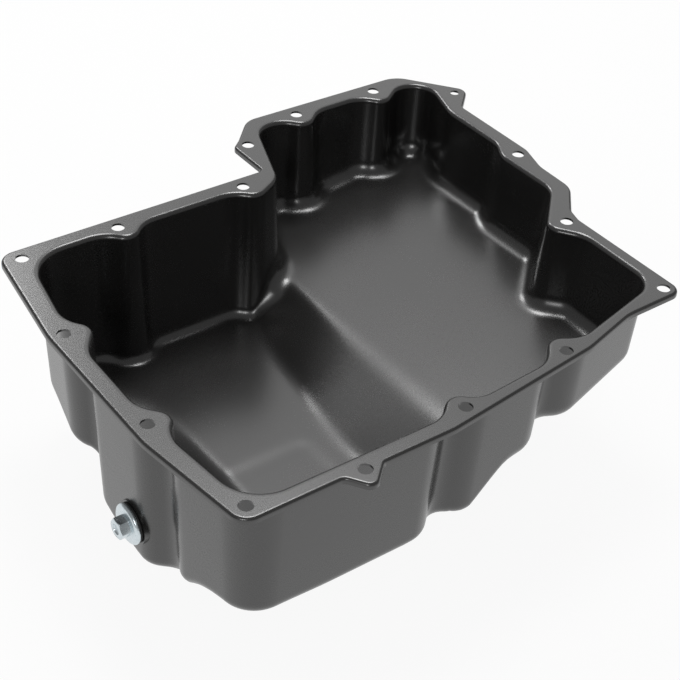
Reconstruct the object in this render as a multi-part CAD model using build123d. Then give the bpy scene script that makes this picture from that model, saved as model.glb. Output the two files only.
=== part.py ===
from build123d import *
import os

# A pressed steel engine oil pan with its drain plug. Driving dimensions, in millimetres. X runs
# along the engine, Y across it, Z up. The origin lies under the middle of the pan, level with
# its lowest point, and the gasket face is the top.
SHEET = 1.5
GASKET_Z = 137.25
DRAFT = 2.0
WALL_INSET = 1.6
FOLD_RADIUS = 3.5
FOLD_FILL = 1.2
BOTTOM_RADIUS = 9.0
LIP_HEIGHT = 4.0
LIP_RADIUS = 2.0
OVERRUN = 30
CLOSE = 0.05

# Bolt holes, in order round the flange from the back left corner: x, y. They clear M8 bolts,
# and the one in the outer ear is smaller.
BOLT_HOLE = 9.0
EAR_HOLE = 7.0
BOLTS = [(-185, 107.8), (-115.3, 107.8), (-16.6, 107.8), (17.6, 153.4), (73.2, 172.3),
         (145.4, 172.3), (179.4, 42.1), (148.3, -43.3), (148.3, -135.4), (48.4, -150.4),
         (-38.3, -158.5), (-119.3, -169.7), (-190.1, -158.5), (-200, -73.9), (-200, 24)]
EAR_BOLT = (198.5, 138.1)

# Outer edge of the flange: x, y, corner radius.
FLANGE_OUTLINE = [
    (-197.1, 118.6, 12), (3.6, 118.8, 4), (3.5, 157, 8), (18, 164.5, 20), (37.2, 184.2, 15),
    (174.5, 182.4, 22), (211, 137.6, 8), (190, 117.7, 5), (190, 44, 20), (182.8, 21, 20),
    (182, -11.5, 18), (161, -35, 10), (157.7, -46, 8), (157.7, -144, 9), (109, -144.6, 40),
    (65, -156.3, 40), (-55, -170.5, 40), (-106.3, -170.5, 4), (-122.5, -185.3, 6),
    (-133.5, -169.4, 4), (-199.4, -169.4, 12), (-210.8, -86, 60), (-209.7, 27.3, 60)]

# Inner edge of the flange, where the sheet folds down into the walls: x, y, corner radius.
# The corners with a small radius are the reliefs that the walls make round the bolts.
FOLD_OUTLINE = [
    (-182, 107.2, 32), (-127.5, 107.8, 19.5), (-112.4, 92.4, 9), (-97.3, 106.6, 19.5),
    (-26, 106.6, 19), (-13.4, 93.5, 10), (9.8, 105.7, 24), (36, 171.7, 20), (59, 171.9, 18),
    (73.2, 156.2, 9), (91.6, 171, 19), (131, 171.3, 18), (144.1, 155, 8.5), (170.5, 172.6, 18),
    (190.8, 155.9, 18), (177.8, 117.3, 38), (178, 62.6, 19), (169.2, 47.2, 19),
    (169.9, -6, 23), (133.2, -41.3, 9), (148.6, -62, 19), (148, -127.7, 21), (66.4, -146.5, 19.5),
    (48.7, -135.7, 9), (32.3, -153.2, 19.5), (-25.6, -157.4, 19.5), (-38.8, -144.7, 9),
    (-55.1, -159.5, 19.5), (-188.8, -159.1, 28), (-196, -89, 19.5), (-183.8, -73.4, 9),
    (-198.2, -57, 19.5), (-197.2, 1.6, 19.5), (-182, 22.4, 9), (-194.6, 36.9, 19.5)]

# The floor, measured down from the gasket face. The deep sump is on the left. Its floor falls
# to a well beside the drain plug, and a ramp climbs from it to the shallow end on the right.
DEEP_FLOOR = -101.0
CREST_FLOOR = -78.0
SHALLOW_END = -52.0
FLOOR_LEFT, WELL_LEFT, WELL_RIGHT, RAMP_CREST, FLOOR_RIGHT = -240, -165, -120, 10, 240
FLOOR_BENDS = [25, 25, 25, 30]
FLOOR_POINTS = 18
FLOOR_SPACING = 40
FLOOR_FRONT = -190
# Across the pan, at even spacing from the front: floor height at the left wall, x of the
# ramp's foot.
FLOOR_STATIONS = [(-99, -8), (-99, -16), (-106, -38), (-132, -44), (-133, -43), (-121, -34),
                  (-102, -26), (-90, -16), (-90, -10), (-90, -6), (-90, -4)]

# Drain plug, M14 with a 13 mm hexagon and a captive rubber seal, screwed into a nut that is
# welded inside the left wall. Its axis runs along X.
DRAIN_Y, DRAIN_Z = -42.8, GASKET_Z - 104.6
PAD_X = -194.8
PAD_RADIUS = 15.0
PAD_DEPTH = 8
NUT_ROOT = 4
THREAD_CORE = 6.2
THREAD_BORE = 7.1
NUT_RADIUS = 11.5
NUT_LENGTH = 11.0
SEAL_THICKNESS = 1.6
SEAL_RADIUS = 13.6
PLUG_FLANGE_RADIUS = 13.8
PLUG_FLANGE_THICKNESS = 3.2
HEX_ACROSS_FLATS = 13.0
HEX_HEIGHT = 6.8
HEX_DIMPLE_RADIUS = 3.6
HEX_DIMPLE_DEPTH = 1.2
PLUG_CHAMFER = 1.2
SHANK_LENGTH = 15.0


def outline_face(corners, z, inset=0.0):
    """A level face with rounded corners."""
    points = [(x, y) for x, y, radius in corners]
    radii = [radius for x, y, radius in corners]
    face = make_face(FilletPolyline(*points, radius=radii, close=True))
    if inset:
        face = offset(face, amount=-inset).face()
    return Pos(0, 0, z) * face


def floor_section(y, left_floor, foot, drop):
    """What lies above the floor at one station, as an upright face."""
    top = GASKET_Z + OVERRUN
    across = [FLOOR_LEFT, WELL_LEFT, WELL_RIGHT, foot, RAMP_CREST, FLOOR_RIGHT]
    heights = [left_floor, left_floor, DEEP_FLOOR, DEEP_FLOOR, CREST_FLOOR, SHALLOW_END]
    points = [(x, y, GASKET_Z + z - drop) for x, z in zip(across, heights)]
    bent = FilletPolyline(*points, radius=FLOOR_BENDS)
    floor = Spline(*[bent @ (i / FLOOR_POINTS) for i in range(FLOOR_POINTS + 1)])
    lid = Polyline(floor @ 1, (FLOOR_RIGHT, y, top), (FLOOR_LEFT, y, top), floor @ 0)
    return make_face(floor.edges() + lid.edges())


def bottom_edges(body):
    """Edges where the floor meets the walls, which alone reach the gasket face."""
    walls = []
    floors = []
    for face in body.faces():
        box = face.bounding_box()
        if box.min.Z > GASKET_Z - 1:
            continue
        if box.max.Z > GASKET_Z - 1:
            walls += face.edges()
        else:
            floors += face.edges()
    return [edge for edge in floors if any(edge.is_same(other) for other in walls)]


def pressing(inset, drop):
    """The tapered walls closed by the floor, as one solid."""
    mouth = outline_face(FOLD_OUTLINE, GASKET_Z, inset)
    walls = extrude(mouth, amount=-GASKET_Z - OVERRUN, taper=DRAFT)
    sections = []
    for number, (left_floor, foot) in enumerate(FLOOR_STATIONS):
        y = FLOOR_FRONT + number * FLOOR_SPACING
        sections.append(floor_section(y, left_floor, foot, drop))
    body = (walls & loft(sections)).solid()
    return body.fillet(BOTTOM_RADIUS + drop, bottom_edges(body))


def flange_plate():
    """The flange with its turned-down lip, still closed over the pan's mouth."""
    plate = extrude(outline_face(FLANGE_OUTLINE, GASKET_Z), amount=-LIP_HEIGHT)
    plate = fillet(plate.edges().group_by(Axis.Z)[-1], LIP_RADIUS)
    hollow = outline_face(FLANGE_OUTLINE, GASKET_Z - SHEET, SHEET)
    return plate - extrude(hollow, amount=-LIP_HEIGHT)


def fold_edges(shell, z):
    """Level edges of the shell at one height that follow the fold, not the flange's outline."""
    mouth = extrude(outline_face(FOLD_OUTLINE, z - 1, -WALL_INSET), amount=2).solid()
    return [edge for edge in shell.edges()
            if abs(edge.center().Z - z) < CLOSE
            and edge.bounding_box().size.Z < CLOSE and mouth.is_inside(edge @ 0.5)]


def pressed_sheet(inside):
    """The drawn sheet: flange, fold, walls and floor of one thickness, with its bolt holes."""
    sheet = flange_plate() + pressing(WALL_INSET - SHEET, SHEET)
    sheet = chamfer(fold_edges(sheet, GASKET_Z - SHEET), FOLD_FILL)
    sheet -= inside
    sheet = fillet(fold_edges(sheet, GASKET_Z), FOLD_RADIUS)
    for x, y in BOLTS:
        sheet -= Pos(x, y, GASKET_Z) * Cylinder(BOLT_HOLE / 2, 4 * SHEET)
    sheet -= Pos(*EAR_BOLT, GASKET_Z) * Cylinder(EAR_HOLE / 2, 4 * SHEET)
    return sheet


def along_x(radius, start, length):
    """A cylinder on the drain plug's axis."""
    return Pos(start + length / 2, DRAIN_Y, DRAIN_Z) * Rot(0, 90, 0) * Cylinder(radius, length)


def pan_shell(inside):
    """The drawn sheet with the flat seat and the bore for the drain plug."""
    shell = pressed_sheet(inside) - along_x(PAD_RADIUS, PAD_X - PAD_DEPTH, PAD_DEPTH)
    shell += along_x(PAD_RADIUS, PAD_X, PAD_DEPTH) - inside
    return shell - along_x(THREAD_BORE, PAD_X - PAD_DEPTH, PAD_DEPTH + OVERRUN)


def drain_nut(inside):
    """The round nut inside the wall, its back cut to the wall's slope."""
    nut = along_x(NUT_RADIUS, PAD_X, NUT_ROOT + NUT_LENGTH) & inside
    return nut - along_x(THREAD_BORE, PAD_X, OVERRUN)


def plug_seal():
    seat = PAD_X - SEAL_THICKNESS
    return along_x(SEAL_RADIUS, seat, SEAL_THICKNESS) - along_x(THREAD_BORE, seat, SEAL_THICKNESS)


def drain_plug():
    """A flanged hexagon screw, its shank a plain core of the thread."""
    seat = PAD_X - SEAL_THICKNESS
    head = seat - PLUG_FLANGE_THICKNESS
    plug = along_x(PLUG_FLANGE_RADIUS, head, PLUG_FLANGE_THICKNESS)
    plug = chamfer(plug.edges().group_by(Axis.X)[0], PLUG_CHAMFER)
    across = RegularPolygon(HEX_ACROSS_FLATS / 2, 6, major_radius=False, rotation=30)
    plug += Pos(head, DRAIN_Y, DRAIN_Z) * Rot(0, -90, 0) * extrude(across, amount=HEX_HEIGHT)
    plug += along_x(THREAD_CORE, seat, SEAL_THICKNESS + SHANK_LENGTH)
    return plug - along_x(HEX_DIMPLE_RADIUS, head - HEX_HEIGHT, HEX_DIMPLE_DEPTH)


os.makedirs("parts", exist_ok=True)
inside = pressing(WALL_INSET, 0)
export_step(pan_shell(inside), "parts/pan_shell.step")
export_step(drain_nut(inside), "parts/drain_nut.step")
export_step(plug_seal(), "parts/plug_seal.step")
export_step(drain_plug(), "parts/drain_plug.step")
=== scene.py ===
import math

import bmesh
import bpy
from mathutils import Matrix, Vector
from mathutils.bvhtree import BVHTree
from mathutils.geometry import area_tri, delaunay_2d_cdt


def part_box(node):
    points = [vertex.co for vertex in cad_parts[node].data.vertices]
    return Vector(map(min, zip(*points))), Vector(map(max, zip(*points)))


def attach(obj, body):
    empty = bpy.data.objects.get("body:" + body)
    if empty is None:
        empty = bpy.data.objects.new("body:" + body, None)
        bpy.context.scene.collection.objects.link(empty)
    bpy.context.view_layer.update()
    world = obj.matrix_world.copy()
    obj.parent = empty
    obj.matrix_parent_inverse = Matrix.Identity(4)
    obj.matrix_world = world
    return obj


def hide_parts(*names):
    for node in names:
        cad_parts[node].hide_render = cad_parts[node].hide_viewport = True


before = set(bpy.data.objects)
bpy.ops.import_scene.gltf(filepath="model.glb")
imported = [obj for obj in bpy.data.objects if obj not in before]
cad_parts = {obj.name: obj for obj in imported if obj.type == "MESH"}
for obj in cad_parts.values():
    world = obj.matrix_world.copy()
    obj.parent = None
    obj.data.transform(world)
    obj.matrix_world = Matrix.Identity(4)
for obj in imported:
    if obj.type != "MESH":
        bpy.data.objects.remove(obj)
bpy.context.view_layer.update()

# Studio: a pale sweep under the pan and an even white surround, as a glossy black part needs.
# The sweep shows white to the camera and in reflections, and keeps a soft shadow.
GASKET_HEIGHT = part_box("pan_shell")[1].z
FLOOR_HALF = 6.0
FLOOR_GAP = 0.0002
FLOOR_WHITE = (0.86, 0.86, 0.86, 1.0)
FLOOR_SHOWN_WHITE = 0.92
ROOM_STRENGTH = 0.3


class Value:
    """A number that varies over a surface, which plain arithmetic works on."""

    def __init__(self, graph, socket):
        self.graph = graph
        self.socket = socket

    def _math(self, operation, first, second):
        return self.graph.maths(operation, first, second)

    def __add__(self, other):
        return self._math("ADD", self, other)

    def __radd__(self, other):
        return self._math("ADD", other, self)

    def __sub__(self, other):
        return self._math("SUBTRACT", self, other)

    def __rsub__(self, other):
        return self._math("SUBTRACT", other, self)

    def __mul__(self, other):
        return self._math("MULTIPLY", self, other)

    def __rmul__(self, other):
        return self._math("MULTIPLY", other, self)


class Graph:
    """A node tree under construction: its nodes are added by one method."""

    def __init__(self, owner):
        owner.use_nodes = True
        self.owner = owner
        self.tree = owner.node_tree
        self.tree.nodes.clear()

    def node(self, kind, settings=None, **inputs):
        made = self.tree.nodes.new("ShaderNode" + kind)
        for name, value in (settings or {}).items():
            setattr(made, name, value)
        for name, value in inputs.items():
            self.feed(made.inputs[name.replace("_", " ")], value)
        return made

    def feed(self, socket, value):
        if isinstance(value, Value):
            value = value.socket
        if isinstance(value, bpy.types.NodeSocket):
            self.tree.links.new(value, socket)
        else:
            socket.default_value = value

    def maths(self, operation, first, second):
        made = self.node("Math", {"operation": operation})
        self.feed(made.inputs[0], first)
        self.feed(made.inputs[1], second)
        return Value(self, made.outputs[0])

    def noise(self, scale, detail=2.0):
        place = self.node("TexCoord").outputs["Object"]
        made = self.node("TexNoise", Vector=place, Scale=scale, Detail=detail)
        return Value(self, made.outputs["Fac"])

    def blend_colours(self, factor, first, second):
        made = self.node("Mix", {"data_type": "RGBA"})
        self.feed(made.inputs[0], factor)
        self.feed(made.inputs[6], first)
        self.feed(made.inputs[7], second)
        return made.outputs[2]

    def surface(self, shader):
        self.node("OutputMaterial", Surface=shader)
        return self.owner


def new_finish(name):
    return Graph(bpy.data.materials.new(name))


def sweep_white():
    finish = new_finish("sweep_white")
    path = finish.node("LightPath")
    camera_ray, glossy_ray, transmission_ray = [
        Value(finish, path.outputs[name])
        for name in ("Is Camera Ray", "Is Glossy Ray", "Is Transmission Ray")]
    seen = camera_ray + glossy_ray + transmission_ray
    paper = finish.node("BsdfDiffuse", Color=FLOOR_WHITE).outputs[0]
    glow = finish.node("Emission", Color=(1.0, 1.0, 1.0, 1.0), Strength=1.0).outputs[0]
    mixed = finish.node("MixShader", Fac=seen * FLOOR_SHOWN_WHITE)
    finish.feed(mixed.inputs[1], paper)
    finish.feed(mixed.inputs[2], glow)
    return finish.surface(mixed.outputs[0])


floor_mesh = bpy.data.meshes.new("studio_floor")
corner_signs = [(-1, -1), (1, -1), (1, 1), (-1, 1)]
floor_corners = [(x * FLOOR_HALF, y * FLOOR_HALF, -FLOOR_GAP) for x, y in corner_signs]
floor_mesh.from_pydata(floor_corners, [], [(0, 1, 2, 3)])
floor_mesh.materials.append(sweep_white())
studio_floor = bpy.data.objects.new("studio_floor", floor_mesh)
bpy.context.collection.objects.link(studio_floor)

world = bpy.data.worlds.new("studio_room")
bpy.context.scene.world = world
room = Graph(world)
room_light = room.node("Background", Color=(1.0, 1.0, 1.0, 1.0), Strength=ROOM_STRENGTH)
room.node("OutputWorld", Surface=room_light.outputs[0])


# Lamps: square soft boxes aimed at the pan, each given by its direction, distance and width in
# metres and its brightness as seen in a mirror. A broad one stands behind the pan, two smaller
# ones hang over it and one stands in front.
def soft_box(name, direction, distance, width, brightness):
    lamp = bpy.data.lights.new(name, "AREA")
    lamp.shape = "SQUARE"
    lamp.size = width
    lamp.energy = brightness * math.pi * width * width
    holder = bpy.data.objects.new(name, lamp)
    bpy.context.collection.objects.link(holder)
    away = Vector(direction).normalized()
    holder.location = away * distance
    holder.rotation_mode = "QUATERNION"
    holder.rotation_quaternion = away.to_track_quat("Z", "Y")
    return holder


soft_box("backdrop", (0.47, 0.62, 0.60), 2.2, 1.9, 0.9)
soft_box("overhead", (0.16, 0.27, 0.95), 1.5, 0.5, 12.0)
soft_box("high_back", (0.08, 0.75, 0.63), 2.0, 0.4, 12.0)
soft_box("front", (-0.66, -0.56, 0.50), 1.8, 0.4, 10.0)

# Camera: a long lens looking down over the drain plug's corner, rolled a little.
CAMERA_PLACE = Vector((-0.52516, -0.64587, GASKET_HEIGHT + 0.56454))
CAMERA_RIGHT = Vector((0.80565, -0.58964, 0.05713))
CAMERA_UP = Vector((0.32236, 0.51728, 0.79278))
LENS_MM = 81.37
SENSOR_MM = 36.0

camera_data = bpy.data.cameras.new("camera")
camera_data.lens = LENS_MM
camera_data.sensor_width = SENSOR_MM
camera = bpy.data.objects.new("camera", camera_data)
bpy.context.collection.objects.link(camera)
camera_back = CAMERA_RIGHT.cross(CAMERA_UP)
turn = Matrix((CAMERA_RIGHT, CAMERA_UP, camera_back)).transposed()
camera.rotation_mode = "QUATERNION"
camera.rotation_quaternion = turn.to_quaternion()
camera.location = CAMERA_PLACE
bpy.context.scene.camera = camera
bpy.context.scene.view_settings.view_transform = "Standard"


# Pan: one deep-drawn steel pressing, dip painted satin black. The paint is a little uneven and
# shows a fine grain where it catches the light.
PAINT_DARK = (0.008, 0.0078, 0.0075, 1.0)
PAINT_LIGHT = (0.013, 0.0125, 0.012, 1.0)
PAINT_SHEEN = 0.27
PAINT_INDEX = 1.8
PAINT_GRAIN_SCALE = 1400.0
PAINT_PEEL_SCALE = 260.0
PAINT_CLOUD_SCALE = 9.0
CLOUD_IN_COLOUR, GRAIN_IN_COLOUR = 0.6, 0.4
CLOUD_IN_SHEEN, GRAIN_IN_SHEEN, SHEEN_BELOW = 0.08, 0.04, 0.06
PEEL_IN_RELIEF, GRAIN_IN_RELIEF = 0.6, 0.4
PAINT_RELIEF_STRENGTH, PAINT_RELIEF_DEPTH = 0.12, 0.0002


def black_paint():
    finish = new_finish("black_paint")
    grain = finish.noise(PAINT_GRAIN_SCALE, detail=1.0)
    peel = finish.noise(PAINT_PEEL_SCALE, detail=2.0)
    cloud = finish.noise(PAINT_CLOUD_SCALE, detail=4.0)
    shade = cloud * CLOUD_IN_COLOUR + grain * GRAIN_IN_COLOUR
    colour = finish.blend_colours(shade, PAINT_DARK, PAINT_LIGHT)
    roughness = PAINT_SHEEN - SHEEN_BELOW + cloud * CLOUD_IN_SHEEN + grain * GRAIN_IN_SHEEN
    height = peel * PEEL_IN_RELIEF + grain * GRAIN_IN_RELIEF
    relief = finish.node("Bump", Strength=PAINT_RELIEF_STRENGTH, Distance=PAINT_RELIEF_DEPTH,
                         Height=height)
    shader = finish.node("BsdfPrincipled", Base_Color=colour, Roughness=roughness,
                         Normal=relief.outputs[0], IOR=PAINT_INDEX)
    return finish.surface(shader.outputs[0])


# Sizes of the pressing in millimetres from the gasket face down: the flange's outer edge and
# the fold into the walls as x, y and corner radius, the bolt holes, and the floor.
MM = 0.001
SHEET = 1.5
DRAFT = math.radians(2.4)
WALL_INSET = 1.6
FOLD_RADIUS = 3.5
SHALLOW_RADIUS = 13.0
DEEP_RADIUS = 8.5
LIP_HEIGHT = 4.0
LIP_RADIUS = 2.0
BOLT_RADIUS = 4.5
EAR_HOLE = (198.5, 138.1, 3.5)
BOLTS = [(-185, 107.8), (-115.3, 107.8), (-16.6, 107.8), (17.6, 153.4), (73.2, 172.3),
         (145.4, 172.3), (179.4, 42.1), (148.3, -43.3), (148.3, -135.4), (48.4, -150.4),
         (-38.3, -158.5), (-119.3, -169.7), (-190.1, -158.5), (-200, -73.9), (-200, 24)]
FLANGE_EDGE = [
    (-197.1, 118.9, 12), (6.9, 119.2, 4), (6.9, 156, 7), (16, 163.5, 16), (36, 184.1, 18),
    (174.5, 183.2, 22), (210.9, 137.6, 8), (190, 117.7, 5), (190, 44, 20), (182.8, 21, 20),
    (182, -11.5, 18), (161, -35, 10), (157.7, -46, 8), (157.7, -144, 9), (109, -144.6, 40),
    (65, -156.3, 40), (-55, -170.5, 40), (-106.3, -170.5, 4), (-122.5, -185.3, 6),
    (-133.5, -169.4, 4), (-199.4, -169.4, 12), (-210.8, -86, 60), (-209.7, 27.3, 60)]
FOLD_LINE = [
    (-182, 107.2, 32), (-127.5, 107.8, 25), (-112.4, 92.4, 9), (-97.3, 106.6, 25),
    (-26, 106.6, 24), (-13.4, 93.5, 10), (9.8, 105.7, 24), (36, 171.7, 20), (59, 171.9, 20),
    (73.2, 156.2, 9), (91.6, 171, 24), (131, 171.3, 24), (144.1, 155, 8.5), (170.5, 172.6, 18),
    (190.8, 155.9, 18), (177.8, 117.3, 38), (178, 62.6, 19), (169.2, 47.2, 19),
    (169.9, -6, 23), (133.2, -41.3, 9), (148.6, -62, 24), (148, -127.7, 21), (66.4, -146.5, 24),
    (48.7, -135.7, 9), (32.3, -153.2, 24), (-25.6, -157.4, 21), (-38.8, -144.7, 9),
    (-55.1, -159.5, 24), (-188.8, -159.1, 28), (-196, -89, 24), (-183.8, -73.4, 9),
    (-198.2, -57, 24), (-197.2, 1.6, 24), (-182, 22.4, 9), (-194.6, 36.9, 24)]
DEEP_FLOOR = -101.0
CREST_FLOOR = -78.0
CREST_X = 10.0
SHALLOW_SLOPE = 0.113
FOOT_BLEND = 2.5
CREST_BLEND = 3.0
WELL_LEFT, WELL_RIGHT = -168.0, -122.0
STATION_FRONT, STATION_STEP = -190.0, 40.0
LEFT_FLOOR = [-99, -99, -106, -131, -133.9, -120, -102, -93, -93, -93, -93]
RAMP_FOOT = [-8, -16, -38, -46, -44, -36, -27, -18, -10, -6, -4]
POCKET_DEPTH, POCKET_Y, POCKET_X, POCKET_EDGE = 0.7, -34.0, -58.0, 12.0


def along(stations, y):
    """A smooth curve through values at even spacing across the pan."""
    place = min(max((y - STATION_FRONT) / STATION_STEP, 1.0), len(stations) - 2.001)
    first = int(place)
    t = place - first
    a, b, c, d = stations[first - 1:first + 3]
    return b + 0.5 * t * (c - a + t * (2 * a - 5 * b + 4 * c - d + t * (3 * (b - c) + d - a)))


def eased(t):
    t = min(max(t, 0.0), 1.0)
    return t * t * (3 - 2 * t)


def smooth_high(a, b, blend):
    """The higher of two heights, with the corner between them rounded."""
    near = max(blend - abs(a - b), 0.0) / blend
    return max(a, b) + near * near * blend / 4


def floor_height(x, y):
    """Height of the inner floor: deep sump with its well and pocket, ramp, shallow end."""
    left = along(LEFT_FLOOR, y)
    deep = left + (DEEP_FLOOR - left) * eased((x - WELL_LEFT) / (WELL_RIGHT - WELL_LEFT))
    deep -= POCKET_DEPTH * eased((POCKET_Y - y) / POCKET_EDGE) * eased((POCKET_X - x) / POCKET_EDGE)
    foot = along(RAMP_FOOT, y)
    ramp = DEEP_FLOOR + (CREST_FLOOR - DEEP_FLOOR) * (x - foot) / (CREST_X - foot)
    shallow = CREST_FLOOR + SHALLOW_SLOPE * (x - CREST_X)
    climb = -smooth_high(-ramp, -shallow, CREST_BLEND)
    return smooth_high(deep, climb, FOOT_BLEND)


# The outlines are followed as points, each with the direction into the pan and the furthest
# that it can move that way before a rounded corner closes up.
ARC_STEP = math.radians(5)
LINE_STEP = 5.0
FREE = 1000.0
CORNER_SLACK = 0.8


def right_of(direction):
    return Vector((direction.y, -direction.x))


def followed(corners):
    """Points along a closed clockwise outline: place, inward direction, room to move inward."""
    arcs = []
    for number, (x, y, radius) in enumerate(corners):
        corner = Vector((x, y))
        arrive = (corner - Vector(corners[number - 1][:2])).normalized()
        leave = (Vector(corners[(number + 1) % len(corners)][:2]) - corner).normalized()
        turn = math.atan2(arrive.cross(leave), arrive.dot(leave))
        start = corner - arrive * radius * math.tan(abs(turn) / 2)
        arcs.append((start, arrive, turn, radius))
    line = []
    for number, (start, arrive, turn, radius) in enumerate(arcs):
        side = -math.copysign(1.0, turn)
        centre = start + right_of(arrive) * radius * side
        steps = max(2, math.ceil(abs(turn) / ARC_STEP))
        for step in range(steps + 1):
            heading = Matrix.Rotation(turn * step / steps, 2) @ arrive
            inward = right_of(heading)
            room = radius - CORNER_SLACK if side > 0 else FREE
            line.append((centre - inward * radius * side, inward, room))
        end = line[-1][0]
        gap = arcs[(number + 1) % len(arcs)][0] - end
        pieces = math.ceil(gap.length / LINE_STEP)
        for piece in range(1, pieces):
            line.append((end + gap * piece / pieces, inward, FREE))
    return line


EDGE_BLEND = 0.5
FOLD_STEPS = 7
LIP_STEPS = 6
FOOT_STEPS = 10
FOOT_TRIES = 8
WALL_SHARES = (0.02, 0.33, 0.66, 0.98)


def fold_profile():
    """The fold from the flange into the wall, as distance inward and height."""
    start = WALL_INSET - FOLD_RADIUS * (1 - math.sin(DRAFT)) / math.cos(DRAFT)
    quarter = math.radians(90)
    turns = [step / FOLD_STEPS for step in range(FOLD_STEPS + 1)]
    sweep = [quarter + (DRAFT - quarter) * t for t in turns]
    curve = [(start + FOLD_RADIUS * math.cos(a), FOLD_RADIUS * (math.sin(a) - 1)) for a in sweep]
    return [(start - EDGE_BLEND, 0.0)] + curve


def wall_profile(place, inward, top):
    """Wall, bottom curve and the start of the floor below one point of the fold line."""
    wall_normal = Vector((math.cos(DRAFT), math.sin(DRAFT)))
    reach = WALL_INSET + SHALLOW_RADIUS
    for attempt in range(FOOT_TRIES):
        spot = place + inward * reach
        ahead = spot + inward
        height = floor_height(*spot)
        depth = (CREST_FLOOR - height) / (CREST_FLOOR - DEEP_FLOOR)
        radius = SHALLOW_RADIUS + (DEEP_RADIUS - SHALLOW_RADIUS) * eased(depth)
        floor_normal = Vector((height - floor_height(*ahead), 1.0)).normalized()
        beside_wall = radius + Vector((WALL_INSET, 0.0)).dot(wall_normal)
        above_floor = radius + Vector((reach, height)).dot(floor_normal)
        turn = wall_normal.cross(floor_normal)
        centre = Vector((
            (beside_wall * floor_normal.y - above_floor * wall_normal.y) / turn,
            (above_floor * wall_normal.x - beside_wall * floor_normal.x) / turn))
        reach = (centre - floor_normal * radius).x
    bottom = centre - wall_normal * radius
    top = Vector(top)
    rows = [top.lerp(bottom, share) for share in WALL_SHARES]
    sweep = wall_normal.angle(floor_normal)
    for step in range(FOOT_STEPS + 1):
        spoke = Matrix.Rotation(sweep * step / FOOT_STEPS, 2) @ wall_normal
        rows.append(centre - spoke * radius)
    return rows


def lip_profile():
    """The rounded edge and the turned-down lip, as distance inward from the edge and height."""
    sweep = [math.radians(90 + 90 * step / LIP_STEPS) for step in range(LIP_STEPS + 1)]
    curve = [(LIP_RADIUS * (1 + math.cos(a)), LIP_RADIUS * (math.sin(a) - 1)) for a in sweep]
    below = [(0.0, -LIP_RADIUS - EDGE_BLEND), (0.0, -LIP_HEIGHT)]
    return [(LIP_RADIUS + EDGE_BLEND, 0.0)] + curve + below


# The skin is swept ring by ring: lip, flange, fold, wall, bottom curve. The flange between the
# rings and the floor inside the last one are filled with triangles, none of them a sliver.
FLOOR_GRID = 3.5
SLIVER = 0.02
WELD_WITHIN = 1e-6
HOLE_POINTS = 32
SHARP_ANGLE = math.radians(40)

skin = bmesh.new()


def add_ring(points):
    return [skin.verts.new(point) for point in points]


def join_rings(outer, inner):
    for number, corner in enumerate(outer):
        beside = (number + 1) % len(outer)
        skin.faces.new((corner, outer[beside], inner[beside], inner[number]))


def fill(rings, extra, wanted):
    """Triangles between rings of points, kept where the test says, at the rings' own points."""
    points = [corner.co.xy for ring in rings for corner in ring] + extra
    edges = []
    first = 0
    for ring in rings:
        size = len(ring)
        edges += [(first + step, first + (step + 1) % size) for step in range(size)]
        first += size
    found = delaunay_2d_cdt(points, edges, [], 0, WELD_WITHIN)
    known = [corner for ring in rings for corner in ring]
    corners = []
    for spot, origin in zip(found[0], found[3]):
        if origin and origin[0] < len(known):
            corners.append(known[origin[0]])
        else:
            corners.append(skin.verts.new((spot.x, spot.y, floor_height(*spot))))
    for triangle in found[2]:
        spots = [found[0][corner] for corner in triangle]
        if area_tri(*spots) > SLIVER and wanted(sum(spots, Vector((0.0, 0.0))) / 3):
            skin.faces.new([corners[corner] for corner in triangle])


def inside_ring(ring):
    outline = [corner.co.xy for corner in ring]

    def test(spot):
        odd = False
        for one, two in zip(outline, outline[1:] + outline[:1]):
            if (one.y > spot.y) != (two.y > spot.y):
                if spot.x < one.x + (two.x - one.x) * (spot.y - one.y) / (two.y - one.y):
                    odd = not odd
        return odd

    return test


edge_line = followed(FLANGE_EDGE)
lip_rings = []
for inward, height in reversed(lip_profile()):
    lip_rings.append(add_ring(
        [(*(place + into * inward), height) for place, into, room in edge_line]))
for outer, inner in zip(lip_rings, lip_rings[1:]):
    join_rings(outer, inner)

fold_line = followed(FOLD_LINE)
fold_rows = fold_profile()
columns = []
for place, into, room in fold_line:
    profile = fold_rows + wall_profile(place, into, fold_rows[-1])
    columns.append([(*(place + into * min(inward, room)), height) for inward, height in profile])
wall_rings = [add_ring([column[row] for column in columns]) for row in range(len(columns[0]))]
for outer, inner in zip(wall_rings, wall_rings[1:]):
    join_rings(outer, inner)

holes = [(x, y, BOLT_RADIUS) for x, y in BOLTS] + [EAR_HOLE]
hole_rings = []
for x, y, radius in holes:
    turns = [2 * math.pi * step / HOLE_POINTS for step in range(HOLE_POINTS)]
    hole_rings.append(add_ring(
        [(x + radius * math.cos(a), y + radius * math.sin(a), 0.0) for a in turns]))
mouth = inside_ring(wall_rings[0])
plate = inside_ring(lip_rings[-1])


def on_flange(spot):
    clear = all((spot - Vector((x, y))).length > radius for x, y, radius in holes)
    return clear and plate(spot) and not mouth(spot)


fill([lip_rings[-1], wall_rings[0], *hole_rings], [], on_flange)

floor_edge = inside_ring(wall_rings[-1])
outline = [corner.co.xy for corner in wall_rings[-1]]


def grid_lines(values):
    """Numbers of the grid lines between the lowest and the highest value."""
    return range(int(min(values) / FLOOR_GRID), int(max(values) / FLOOR_GRID) + 1)


grid = []
for column in grid_lines([p.x for p in outline]):
    for row in grid_lines([p.y for p in outline]):
        spot = Vector((column * FLOOR_GRID, row * FLOOR_GRID))
        if floor_edge(spot) and min((spot - p).length for p in outline) > FLOOR_GRID / 2:
            grid.append(spot)
fill([wall_rings[-1]], grid, floor_edge)

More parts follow.
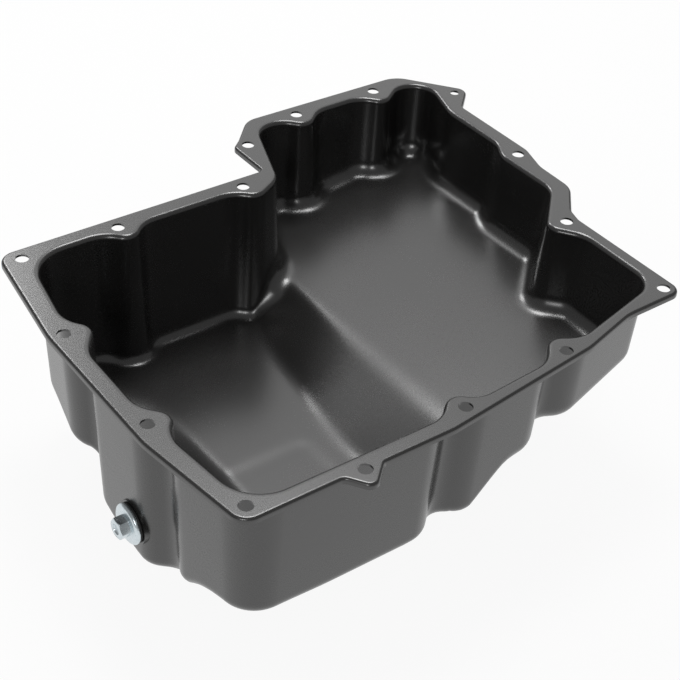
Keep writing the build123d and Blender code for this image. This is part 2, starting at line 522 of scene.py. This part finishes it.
into_place = Matrix.Translation((0, 0, GASKET_HEIGHT)) @ Matrix.Scale(MM, 4)
bmesh.ops.transform(skin, verts=skin.verts, matrix=into_place)
bmesh.ops.recalc_face_normals(skin, faces=skin.faces)
if skin.faces[-1].normal.z < 0:
    bmesh.ops.reverse_faces(skin, faces=skin.faces)
pan_mesh = bpy.data.meshes.new("pan_pressing")
skin.to_mesh(pan_mesh)
skin.free()
pan = bpy.data.objects.new("pan_pressing", pan_mesh)
bpy.context.collection.objects.link(pan)
thicken = pan.modifiers.new("sheet", "SOLIDIFY")
thicken.thickness = SHEET * MM
thicken.offset = -1.0
thicken.use_quality_normals = True


def settle(piece):
    """Makes the piece's modifiers part of its mesh."""
    graph = bpy.context.evaluated_depsgraph_get()
    mesh = bpy.data.meshes.new_from_object(piece.evaluated_get(graph))
    piece.modifiers.clear()
    piece.data = mesh


settle(pan)

# Drain seat: a flat round pad on the outside of the left wall with the drain bore through it.
# Everything of the drain plug is turned about one axis along X.
DRAIN_Y, DRAIN_Z = -42.8, -104.6
SEAT_X = -194.8
PAD_RADIUS = 15.0
BORE_RADIUS = 7.1
BORE_START, BORE_END = -200.0, -183.0
CAST_FROM = -230.0
PAD_SINK = 0.75
PAD_RINGS = 8
AROUND = 96


def about_drain(x, radius, angle):
    """A point about the drain plug's axis, in metres."""
    y = DRAIN_Y + radius * math.cos(angle)
    z = DRAIN_Z + radius * math.sin(angle)
    return Vector((x * MM, y * MM, GASKET_HEIGHT + z * MM))


def turned(name, profile, closed=False, sides=AROUND):
    """A turned piece from x and radius along its profile; a profile on the axis is capped."""
    form = bmesh.new()
    angles = [2 * math.pi * step / sides for step in range(sides)]
    rings = [[form.verts.new(about_drain(x, radius, a)) for a in angles] for x, radius in profile]
    pairs = list(zip(rings, rings[1:]))
    if closed:
        pairs.append((rings[-1], rings[0]))
    for one, two in pairs:
        for step in range(sides):
            beside = (step + 1) % sides
            form.faces.new((one[step], one[beside], two[beside], two[step]))
    if not closed:
        form.faces.new(rings[0])
        form.faces.new(rings[-1])
    return finished(name, form)


def finished(name, form):
    """A new object from a bmesh, its faces pointing outwards."""
    bmesh.ops.recalc_face_normals(form, faces=form.faces)
    mesh = bpy.data.meshes.new(name)
    form.to_mesh(mesh)
    form.free()
    made = bpy.data.objects.new(name, mesh)
    bpy.context.collection.objects.link(made)
    return made


def carve(piece, tool, operation):
    """Joins, cuts or intersects the piece with a tool, which is then thrown away."""
    cut = piece.modifiers.new("cut", "BOOLEAN")
    cut.operation = operation
    cut.solver = "EXACT"
    cut.object = tool
    settle(piece)
    bpy.data.objects.remove(tool)


def seat_pad():
    """The pad: flat outside, its back sunk half way into the wall that it stands on."""
    surface = BVHTree.FromObject(pan, bpy.context.evaluated_depsgraph_get())
    form = bmesh.new()
    angles = [2 * math.pi * step / AROUND for step in range(AROUND)]
    rings = []
    for ring in range(1, PAD_RINGS + 1):
        radius = PAD_RADIUS * ring / PAD_RINGS
        line = []
        for a in angles:
            start = about_drain(CAST_FROM, radius, a)
            hit = surface.ray_cast(start, Vector((1, 0, 0)))[0]
            line.append(form.verts.new(hit + Vector((PAD_SINK * MM, 0, 0))))
        rings.append(line)
    rings.append([form.verts.new(about_drain(SEAT_X, PAD_RADIUS, a)) for a in angles])
    for one, two in zip(rings, rings[1:]):
        for step in range(AROUND):
            beside = (step + 1) % AROUND
            form.faces.new((one[step], one[beside], two[beside], two[step]))
    form.faces.new(rings[0])
    form.faces.new(rings[-1])
    bmesh.ops.triangulate(form, faces=form.faces)
    return finished("seat_pad", form)


carve(pan, seat_pad(), "UNION")
drain_bore = turned("drain_bore", [(BORE_START, BORE_RADIUS), (BORE_END, BORE_RADIUS)])
carve(pan, drain_bore, "DIFFERENCE")
pan.data.shade_smooth()
pan.data.set_sharp_from_angle(angle=SHARP_ANGLE)
pan.data.materials.clear()
pan.data.materials.append(black_paint())
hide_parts("pan_shell")
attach(pan, "pan")


# Weld nut: a round turned steel boss, welded to the inside of the wall behind the seat, with a
# bead of weld round its foot. The drain plug screws into it.
NUT_BACK, NUT_FRONT = -192.6, -179.8
NUT_RADIUS = 11.5
NUT_CHAMFER = 0.9
WELD_LEG = 2.2
# Weld bead: distance up the nut and share of the leg that stands out there.
WELD_BEAD = [(0.0, 1.0), (1.6, 1.0), (2.4, 0.72), (3.2, 0.3), (3.6, 0.0)]
NUT_DARK = (0.30, 0.33, 0.34, 1.0)
NUT_LIGHT = (0.46, 0.49, 0.50, 1.0)
NUT_SHEEN, NUT_SHEEN_SPREAD = 0.32, 0.2
NUT_GRAIN_SCALE = 300.0


def nut_steel():
    finish = new_finish("nut_steel")
    grain = finish.noise(NUT_GRAIN_SCALE, detail=3.0)
    colour = finish.blend_colours(grain, NUT_DARK, NUT_LIGHT)
    relief = finish.node("Bump", Strength=0.2, Distance=0.0002, Height=grain)
    shader = finish.node("BsdfPrincipled", Base_Color=colour, Metallic=1.0,
                         Roughness=NUT_SHEEN + grain * NUT_SHEEN_SPREAD, Normal=relief.outputs[0])
    return finish.surface(shader.outputs[0])


def dressed(piece, finish, node, body, sharp=30):
    """Gives a finished piece its shading, its material and its place in the frame."""
    piece.data.shade_smooth()
    piece.data.set_sharp_from_angle(angle=math.radians(sharp))
    piece.data.materials.clear()
    piece.data.materials.append(finish)
    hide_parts(node)
    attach(piece, body)


bead = [(NUT_BACK + up, NUT_RADIUS + WELD_LEG * share) for up, share in WELD_BEAD]
weld_nut = turned("weld_nut", [
    (NUT_BACK, BORE_RADIUS), *bead, (NUT_FRONT - NUT_CHAMFER, NUT_RADIUS),
    (NUT_FRONT, NUT_RADIUS - NUT_CHAMFER), (NUT_FRONT, BORE_RADIUS + NUT_CHAMFER),
    (NUT_FRONT - NUT_CHAMFER, BORE_RADIUS)], closed=True)
dressed(weld_nut, nut_steel(), "drain_nut", "pan")


# Drain plug: a flanged hexagon screw, cold headed and zinc plated, slightly blue. Its thread is
# one ridge that winds along the shank.
PLUG_SEAT = -196.4
FLANGE_FACE = -199.6
HEAD_END = -206.4
SHANK_END = -179.8
CORE_RADIUS = 6.2
HEX_CORNER = 6.5 / math.cos(math.radians(30))
THREAD_PITCH = 1.5
THREAD_CREST = 6.9
THREAD_FROM, THREAD_TO = -193.9, -181.0
THREAD_SINK = 0.02
THREAD_INPUTS = (("Turns", 8.0), ("Length", 0.012), ("Root", 0.0061), ("Ridge", 0.0008))
EDGE_WIDTH = 0.15
EDGE_ANGLE = math.radians(35)
# Hexagon, its chamfer and dimple: distance from the end of the head and radius.
HEX_SINK = 0.6
CHAMFER_PROFILE = [(-0.01, 6.0), (0.9, 7.7)]
CHAMFER_RADIUS, CHAMFER_SINK = 7.7, 0.7
DIMPLE_PROFILE = [(-0.5, 3.7), (0.2, 3.6), (1.2, 2.9)]
FLANGE_PROFILE = [(0.0, 11.4), (0.25, 12.4), (0.9, 13.3), (1.7, 13.75)]
ZINC_DARK = (0.50, 0.57, 0.60, 1.0)
ZINC_LIGHT = (0.76, 0.82, 0.85, 1.0)
ZINC_MOTTLE_SCALE, ZINC_FINE_SCALE = 420.0, 2600.0
ZINC_SHEEN, ZINC_SHEEN_SPREAD = 0.18, 0.2


def thread_tree():
    """A ridge of triangular section wound along Z, from named sizes."""
    tree = bpy.data.node_groups.new("screw_thread", "GeometryNodeTree")
    sizes = {}
    for name, value in THREAD_INPUTS:
        socket = tree.interface.new_socket(
            name=name, in_out="INPUT", socket_type="NodeSocketFloat")
        socket.default_value = value
        sizes[name] = socket.identifier
    coating = tree.interface.new_socket(
        name="Finish", in_out="INPUT", socket_type="NodeSocketMaterial")
    sizes["Finish"] = coating.identifier
    tree.interface.new_socket(name="Geometry", in_out="OUTPUT", socket_type="NodeSocketGeometry")

    def add(kind, **inputs):
        made = tree.nodes.new(kind)
        for name, value in inputs.items():
            socket = made.inputs[name.replace("_", " ")]
            if isinstance(value, bpy.types.NodeSocket):
                tree.links.new(value, socket)
            else:
                socket.default_value = value
        return made

    given = tree.nodes.new("NodeGroupInput")
    helix = add("GeometryNodeCurveSpiral", Resolution=32, Rotations=given.outputs["Turns"],
                Start_Radius=given.outputs["Root"], End_Radius=given.outputs["Root"],
                Height=given.outputs["Length"])
    level = add("GeometryNodeSetCurveNormal", Curve=helix.outputs[0])
    level.mode = "Z_UP"
    ridge = add("GeometryNodeCurvePrimitiveCircle", Resolution=3, Radius=given.outputs["Ridge"])
    wound = add("GeometryNodeCurveToMesh", Curve=level.outputs[0],
                Profile_Curve=ridge.outputs[0], Fill_Caps=True)
    real = add("GeometryNodeRealizeInstances", Geometry=wound.outputs[0])
    coated = add("GeometryNodeSetMaterial", Geometry=real.outputs[0],
                 Material=given.outputs["Finish"])
    tree.links.new(coated.outputs[0], tree.nodes.new("NodeGroupOutput").inputs[0])
    return tree, sizes


def zinc_plate():
    finish = new_finish("zinc_plate")
    mottle = finish.noise(ZINC_MOTTLE_SCALE, detail=4.0)
    fine = finish.noise(ZINC_FINE_SCALE, detail=2.0)
    colour = finish.blend_colours(mottle, ZINC_DARK, ZINC_LIGHT)
    relief = finish.node("Bump", Strength=0.15, Distance=0.0001, Height=fine)
    shader = finish.node("BsdfPrincipled", Base_Color=colour, Metallic=1.0,
                         Roughness=ZINC_SHEEN + mottle * ZINC_SHEEN_SPREAD,
                         Normal=relief.outputs[0])
    return finish.surface(shader.outputs[0])


zinc = zinc_plate()
hexagon = turned(
    "hexagon", [(HEAD_END, HEX_CORNER), (FLANGE_FACE + HEX_SINK, HEX_CORNER)], sides=6)
head_chamfer = turned("head_chamfer", [
    *[(HEAD_END + depth, radius) for depth, radius in CHAMFER_PROFILE],
    (FLANGE_FACE + CHAMFER_SINK, CHAMFER_RADIUS)])
carve(hexagon, head_chamfer, "INTERSECT")
head_dimple = turned(
    "head_dimple", [(HEAD_END + depth, radius) for depth, radius in DIMPLE_PROFILE])
carve(hexagon, head_dimple, "DIFFERENCE")
drain_plug = turned("flanged_plug", [
    *[(FLANGE_FACE + depth, radius) for depth, radius in FLANGE_PROFILE],
    (PLUG_SEAT - 0.4, 13.8), (PLUG_SEAT, 13.5), (PLUG_SEAT, 6.9),
    (PLUG_SEAT + 0.7, CORE_RADIUS), (SHANK_END - 1.2, CORE_RADIUS), (SHANK_END, 5.2)])
carve(drain_plug, hexagon, "UNION")
edges = drain_plug.modifiers.new("edges", "BEVEL")
edges.width = EDGE_WIDTH * MM
edges.segments = 2
edges.angle_limit = EDGE_ANGLE
settle(drain_plug)

thread = turned("thread", [(THREAD_FROM, 1.0), (THREAD_TO, 1.0)], sides=3)
tree, sizes = thread_tree()
winding = thread.modifiers.new("winding", "NODES")
winding.node_group = tree
winding[sizes["Turns"]] = (THREAD_TO - THREAD_FROM) / THREAD_PITCH
winding[sizes["Length"]] = (THREAD_TO - THREAD_FROM) * MM
winding[sizes["Root"]] = (CORE_RADIUS - THREAD_SINK) * MM
winding[sizes["Ridge"]] = (THREAD_CREST - CORE_RADIUS + THREAD_SINK) * MM
winding[sizes["Finish"]] = zinc
settle(thread)
along_shank = Matrix.Rotation(math.radians(90), 4, "Y")
thread.data.transform(Matrix.Translation(about_drain(THREAD_FROM, 0, 0)) @ along_shank)
screw = bmesh.new()
screw.from_mesh(drain_plug.data)
screw.from_mesh(thread.data)
bpy.data.objects.remove(thread)
bmesh.ops.recalc_face_normals(screw, faces=screw.faces)
screw.to_mesh(drain_plug.data)
screw.free()
dressed(drain_plug, zinc, "drain_plug", "plug")


# Seal: a moulded rubber washer with a rounded rim, held under the plug's flange.
SEAL_BORE, SEAL_RIM = 7.2, 13.6
RIM_ROUND = 0.8
RIM_STEPS = 8
RUBBER_DARK = (0.008, 0.008, 0.008, 1.0)
RUBBER_LIGHT = (0.02, 0.02, 0.02, 1.0)


def seal_rubber():
    finish = new_finish("seal_rubber")
    dust = finish.noise(900.0, detail=3.0)
    colour = finish.blend_colours(dust, RUBBER_DARK, RUBBER_LIGHT)
    shader = finish.node("BsdfPrincipled", Base_Color=colour, Roughness=0.5 + dust * 0.2)
    return finish.surface(shader.outputs[0])


rim_turns = [math.radians(180 * step / RIM_STEPS) for step in range(RIM_STEPS + 1)]
rim = [(PLUG_SEAT + RIM_ROUND - RIM_ROUND * math.cos(a),
        SEAL_RIM - RIM_ROUND + RIM_ROUND * math.sin(a)) for a in rim_turns]
plug_seal = turned(
    "rubber_seal", [(PLUG_SEAT, SEAL_BORE)] + rim + [(SEAT_X, SEAL_BORE)], closed=True)
dressed(plug_seal, seal_rubber(), "plug_seal", "seal", sharp=60)
